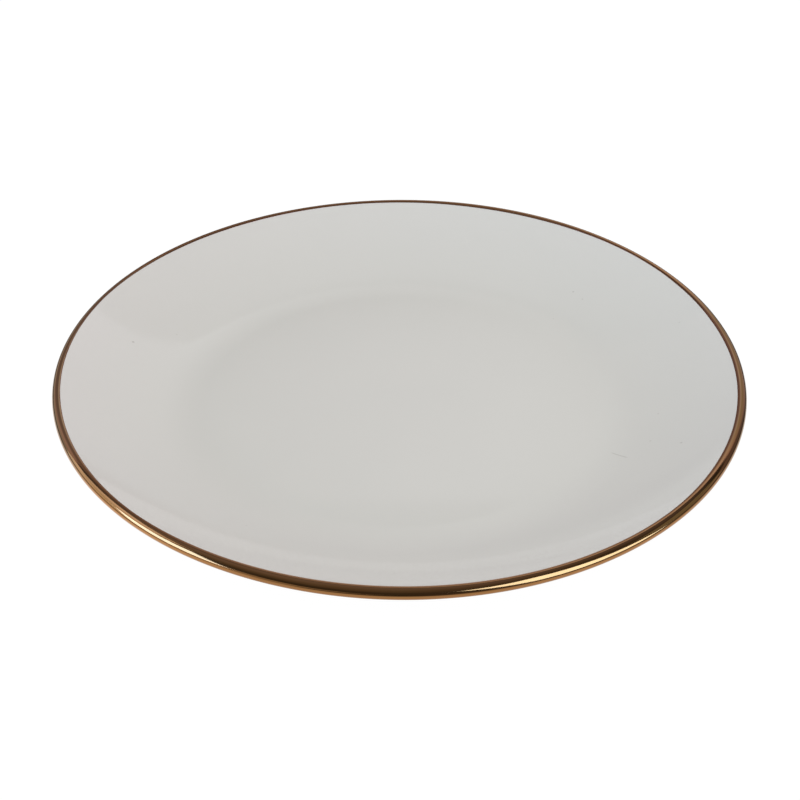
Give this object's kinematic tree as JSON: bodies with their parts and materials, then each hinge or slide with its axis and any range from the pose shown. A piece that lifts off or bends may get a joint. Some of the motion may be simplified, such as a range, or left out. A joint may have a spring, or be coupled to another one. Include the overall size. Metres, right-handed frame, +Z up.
{
  "type": "dinner plate",
  "caption": "Round coupe dinner plate in glazed white china, with a nearly flat well, a curved wall, a gold-lined rounded lip and a foot ring.",
  "frame": {"origin": "middle of the plate, on the plane that the foot ring stands on", "axes": "+Z up out of the dish, along the axis that the plate is round about; X and Y are any two level directions"},
  "size_m": [0.265, 0.265, 0.0231],
  "materials": {
    "porcelain": "matte",
    "glaze": "gloss",
    "gold": "polished"
  },
  "bodies": {
    "root": {"porcelain_body": "porcelain", "outer_glaze": "glaze", "foot_recess_glaze": "glaze", "gold_rim_band": "gold"}
  },
  "joints": []
}
